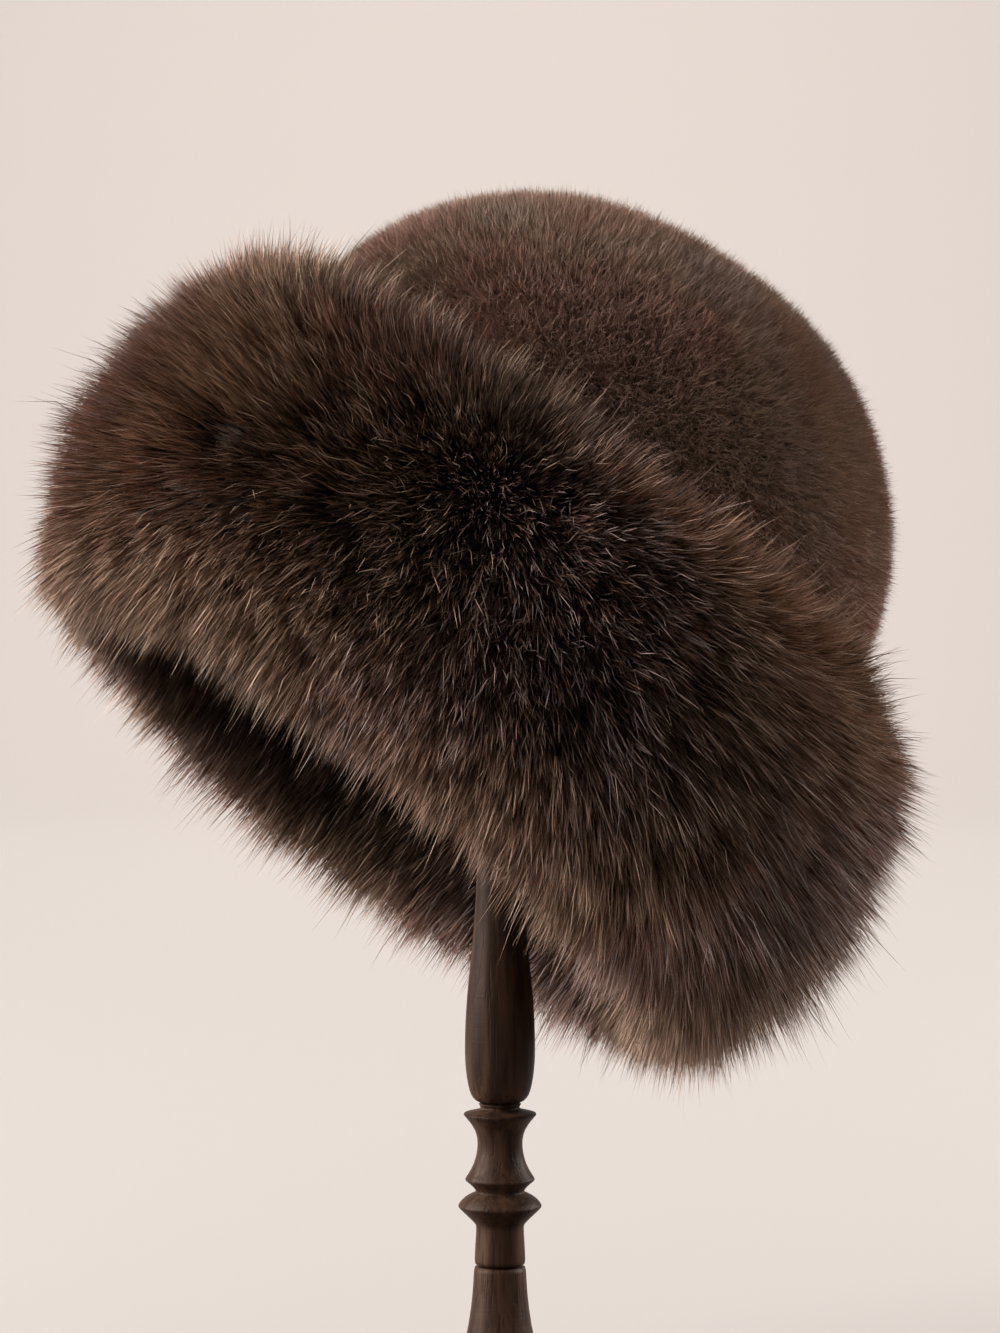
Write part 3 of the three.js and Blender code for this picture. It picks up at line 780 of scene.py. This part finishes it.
# Painted light and shade on the pelt: a darker middle, which runs round the roll and is darkest in
# front, where the hairs are seen end-on into their shaded depth, paler edges, where they are seen from
# the side and catch the lamps, and smaller painted dark and pale places. They are given like the
# swells, with the change of tone, and each coat takes them times its shaded value.
PELT_PAINTED_SHADE = [
    (278, 4.1, 400, 1.5, -0.08),
    (294, 4.4, 62, 1.8, -0.19),
    (281, 5.4, 16, 0.7, -0.14),
    (282, 2.1, 28, 0.8, -0.23),
    (298, 0.5, 28, 0.6, 0.22),
    (248, 1.2, 30, 1.1, -0.26),
    (230, 1.2, 16, 1.1, -0.19),
    (241, 2.5, 9, 0.9, -0.17),
    (265, 0.5, 9, 0.7, -0.19),
    (241, 0.5, 6, 0.6, -0.14),
    (250, 2.1, 9, 0.6, -0.08),
    (216, 5.4, 18, 1.9, 0.09),
    (216, 3.4, 22, 1.5, 0.05),
    (216, 7.5, 30, 1.0, -0.10),
    (256, 7.6, 24, 0.6, 0.07),
    (305, 6.8, 26, 0.8, 0.08),
    (317, 6.3, 13, 1.0, 0.12),
    (329, 7.2, 14, 1.4, -0.13),
    (331, 5.5, 12, 0.9, -0.10),
    (242, 8.4, 13, 0.8, -0.20),
    (232, 4.9, 8, 0.8, -0.08),
    (243, 3.3, 6, 0.5, -0.12),
    (250, 2.8, 6, 0.5, 0.12),
    (277, 0.6, 8, 0.6, 0.10),
    (72, 8.8, 28, 1.0, 0.16),
]
# Where the hair is more olive, below 0, or redder, above 0.
PELT_TINTS = [
    (254, 8.5, 70, 0.9, -0.35),
    (263, 7.3, 24, 1.0, -0.35),
    (290, 1.0, 45, 0.9, -0.45),
    (288, 4.3, 34, 1.7, 0.35),
    (330, 7.0, 18, 1.6, 0.35),
    (80, 8.8, 42, 1.4, 0.30),
    (222, 3.5, 22, 2.0, 0.20),
]
# Painted highlight: the guard hairs take their greyest hue where the pelt is darkest, standing in for
# their grey sheen there, and their browner first hue on the fringe by the crown.
GUARD_TINTS_AND_HIGHLIGHT = [(278, 4.3, 42, 1.6, 0.45), (264, 0.9, 50, 1.1, -0.45)]
# Where both coats take their first hue, the most russet one.
RUSSET = [(240, 1.6, 18, 1.6, -2.4)]
# Where the random field of the patches, with the tints added, passes from one hue to the next.
FUR_LIMITS = [-1.0, 0.3, 0.72]
# Where the hair lies most askew.
RUFFLED = [(274, 4.3, 40, 1.7, 1), (280, 0.3, 62, 0.9, 0.5)]
# Where the hair has been brushed round the hat, to its right above 0, or away from the crown: the
# tips are off to that side by this share of the hair's length.
BRUSHED_RIGHT = [
    (246, 1.2, 13, 1.4, -0.48),
    (280, 0.8, 12, 1.0, 0.25),
    (226, 6.3, 18, 1.2, 0.42),
    (274, 5.6, 14, 1.6, -0.16),
    (250, 3.3, 8, 1.0, -0.12),
    (269, 3.1, 8, 1.0, 0.14),
]
BRUSHED_DOWN = [
    (298, 1.4, 25, 0.9, 0.64),
    (262, 4.2, 17, 1.2, 0.28),
    (231, 3.8, 20, 1.3, -0.30),
    (198, 3.9, 14, 1.3, -0.10),
    (224, 6.2, 18, 1.0, 0.18),
    (245, 1.5, 11, 0.8, 0.20),
    (318, 4.8, 20, 2.5, 0.09),
]
FUR_HUES = [(0.135, 0.065, 0.040), (0.127, 0.0735, 0.0455), (0.130, 0.071, 0.046), (0.136, 0.069, 0.047)]
FUR_LEVELS = [(0.0, 0.4), (0.4, 2.0), (0.75, 3.1), (1.0, 4.4)]
FUR_ROOT = (0.0033, 0.0016, 0.0017, 1)
UNDERCOAT_ROOT_RANGE = (0.15, 1.0)
GUARD_ROOT_RANGE = (0.1, 0.8)
# The guard hairs' last, greyest hue is their painted highlight.
GUARD_HUES = [(0.133, 0.070, 0.046), (0.124, 0.082, 0.057), (0.127, 0.081, 0.060), (0.119, 0.084, 0.075)]
GUARD_LEVELS = [(0.0, 0.8), (0.4, 2.6), (0.75, 4.0), (1.0, 5.0)]


# Every part has a dense undercoat, and a few longer and paler guard hairs that stand out of it.
# However far a hair leans, it is at most "longest" times as long as the roll says at its place.
COATS = [
    {"name": "undercoat", "hairs": 104000, "points": 2, "width": 0.00050, "reach": (0.64, 0.90),
     "tone": 0.34, "wisp": 0.30, "spread": 0.075, "shaded": 1.0, "ruffled": 1.3, "longest": 1.18,
     "tinted": PELT_TINTS,
     "finish": hair_finish("undercoat", FUR_HUES, FUR_LEVELS, FUR_ROOT, UNDERCOAT_ROOT_RANGE)},
    {"name": "guard_hair", "hairs": 18000, "points": 3, "width": 0.00042, "reach": (0.80, 0.96),
     "tone": 0.43, "wisp": 0.18, "spread": 0.075, "shaded": 1.25, "ruffled": 2.5, "longest": 1.30,
     "tinted": GUARD_TINTS_AND_HIGHLIGHT,
     "finish": hair_finish("guard_hair", GUARD_HUES, GUARD_LEVELS, FUR_ROOT, GUARD_ROOT_RANGE)},
]

underfur_rows = [
    tuple(skin + (tip - skin) * UNDERFUR_SHARE)
    for skin, tip in zip(FUR_ROLL[:, :2], FUR_ROLL[:, 2:])
]
underfur_rows += BAND_SIDE_ROWS + [underfur_rows[0]]
underfur = turn("brim_underfur", underfur_rows, UNDERFUR_SIDES)
set_on_hat(underfur)
underfur.data.materials.append(hide)
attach(underfur, "root")
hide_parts("brim_fur")


def roll_at(places):
    """Root and tip, as radius and height, at places across the roll counted in rows."""
    index = np.arange(len(FUR_ROLL))
    return np.stack([np.interp(places, index, FUR_ROLL[:, k]) for k in range(4)], axis=-1)


# The roll's outside in fine steps: their places in rows, and how far each is along it in metres.
fine_places = np.linspace(0, len(FUR_ROLL) - 1, ROLL_STEPS)
fine_tips = roll_at(fine_places)[:, 2:]
fine_steps = np.linalg.norm(np.diff(fine_tips, axis=0), axis=1)
fine_depth = np.concatenate([[0], np.cumsum(fine_steps)])


def round_hat(bearings, profile):
    """Points at bearings round the upright hat, from radius and height, set on the leaning hat."""
    x = profile[:, 0] * np.cos(bearings)
    y = profile[:, 0] * np.sin(bearings) * DEPTH_RATIO
    return on_hat(np.stack([x, y, profile[:, 1]], axis=-1))


def skin_and_tip(bearings, places):
    """Where the roll's hairs are rooted, and where they end, swells included."""
    rows = roll_at(places)
    skin = round_hat(bearings - FUR_TWIST, rows[:, :2])
    tip = round_hat(bearings, rows[:, 2:])
    return skin, tip + unit(tip - skin) * in_patches(bearings, places, ROLL_SWELLS)[:, None]


def over_roll(bearings, places, turn_by=0, rows_by=0):
    """The direction over the roll's outside, round the hat or across the roll."""
    further = skin_and_tip(bearings + turn_by, places + rows_by)[1]
    return unit(further - skin_and_tip(bearings, places)[1])


def spread_hairs(count, first, last):
    """Random bearings, and places between two rows, even over the roll's outside."""
    chosen = (fine_places[1:] > first) & (fine_places[1:] <= last)
    weight = chosen * fine_steps * fine_tips[1:, 0]
    chance = np.concatenate([[0], np.cumsum(weight)]) / weight.sum()
    places = np.interp(rng.random(count), chance, fine_places)
    return rng.random(count) * 2 * math.pi, places


def gathered(bearings, places, around, across, seed):
    """The tips in the middle of each hair's lock or wisp, and its own random numbers."""
    depth = np.interp(places, fine_places, fine_depth)
    cells = np.stack([bearings / (2 * math.pi) * around, depth / across], axis=-1)
    middle, own = tuft_of(cells, seed, around)
    middle_places = np.interp(middle[:, 1] * across, fine_depth, fine_places)
    middle_bearings = middle[:, 0] / around * 2 * math.pi
    return skin_and_tip(middle_bearings, np.clip(middle_places, *TUFT_PLACES))[1], own


def fur_piece(part, first, last, coat):
    """Hairs of one coat between two places across the roll, gathered into wisps and locks."""
    count = coat["hairs"]
    bearings, places = spread_hairs(count, first, last)
    lock_tip, lock_own = gathered(bearings, places, **LOCKS)
    wisp_tip, wisp_own = gathered(bearings, places, **WISPS)

    # Where the tips are: gathered, brushed, and leaning aside.
    skin, tip = skin_and_tip(bearings, places)
    length = np.linalg.norm(tip - skin, axis=1)[:, None]
    tip += coat["wisp"] * (wisp_tip - tip)
    tip += LOCK_PULL * (lock_tip - tip)
    right = over_roll(bearings, places, turn_by=SMALL_TURN)
    down = over_roll(bearings, places, rows_by=SMALL_ROW)
    tip += length * right * in_patches(bearings, places, BRUSHED_RIGHT)[:, None]
    tip += length * down * in_patches(bearings, places, BRUSHED_DOWN)[:, None]
    lean = FUR_LEANS["lock"] * (lock_own[:, 1:] - 0.5) + FUR_LEANS["wisp"] * (wisp_own[:, 1:] - 0.5)
    lean *= 1 + coat["ruffled"] * in_patches(bearings, places, RUFFLED)[:, None]
    loose = coat["spread"] * (1 + LOOSER_BY_CROWN * np.exp(-(places ** 2)))[:, None]
    tip += length * (lean + loose * rng.normal(size=tip.shape))
    drawn = np.linalg.norm(tip - skin, axis=1)[:, None]
    tip = skin + (tip - skin) * np.minimum(1, coat["longest"] * length / drawn)

    # How far the hairs reach towards them, and how they droop and bend.
    reach = coat["reach"][0] + (coat["reach"][1] - coat["reach"][0]) * rng.random(count)
    lock_reach = LOCK_REACH[0] + LOCK_REACH[1] * lock_own[:, 0]
    reach *= lock_reach * (WISP_REACH[0] + WISP_REACH[1] * wisp_own[:, 0])
    steps = np.linspace(0, 1, coat["points"])
    shares = HAIR_START + (reach[:, None] - HAIR_START) * steps[None]
    paths = skin[:, None] + (tip - skin)[:, None] * shares[:, :, None]
    paths[:, :, 2] -= FUR_DROOP * length * shares ** 2
    bend = FUR_BENDS["hair"] * rng.normal(size=tip.shape) + FUR_BENDS["wisp"] * (wisp_own[:, 1:] - 0.5)
    paths[:, 1:-1] += (length * bend)[:, None]

    # Their tones, with painted shade inside the brim and the pelt's painted light and shade, their hues,
    # with the guard hairs' painted highlight, and their widths.
    inside = np.clip((places - INSIDE_FROM) / INSIDE_FADE, 0, 1)
    tones = coat["tone"] + FUR_TONES["lock"] * (lock_own[:, 3] - 0.5)
    tones += FUR_TONES["wisp"] * (wisp_own[:, 0] - 0.5)
    tones += FUR_TONES["hair"] * rng.normal(size=count) - INSIDE_PAINTED_SHADE * inside
    tones += coat["shaded"] * in_patches(bearings, places, PELT_PAINTED_SHADE)
    tints = patches(skin, PATCH_SIZE, seed=9) + in_patches(bearings, places, coat["tinted"] + RUSSET)
    hues = np.digitize(tints + FUR_HUE_STRAY * rng.normal(size=count), FUR_LIMITS)
    widths = coat["width"] * (FUR_WIDTHS["all"] + FUR_WIDTHS["hair"] * rng.random(count))
    name = "brim_" + coat["name"] + "_" + part
    made = hair_mesh(name, paths, widths, tones, hues, rng.normal(size=tip.shape))
    made.data.materials.append(coat["finish"])
    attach(made, "root")


for part, first, last in FUR_PARTS:
    for coat in COATS:
        fur_piece(part, first, last, coat)


bpy.ops.object.select_all(action="DESELECT")
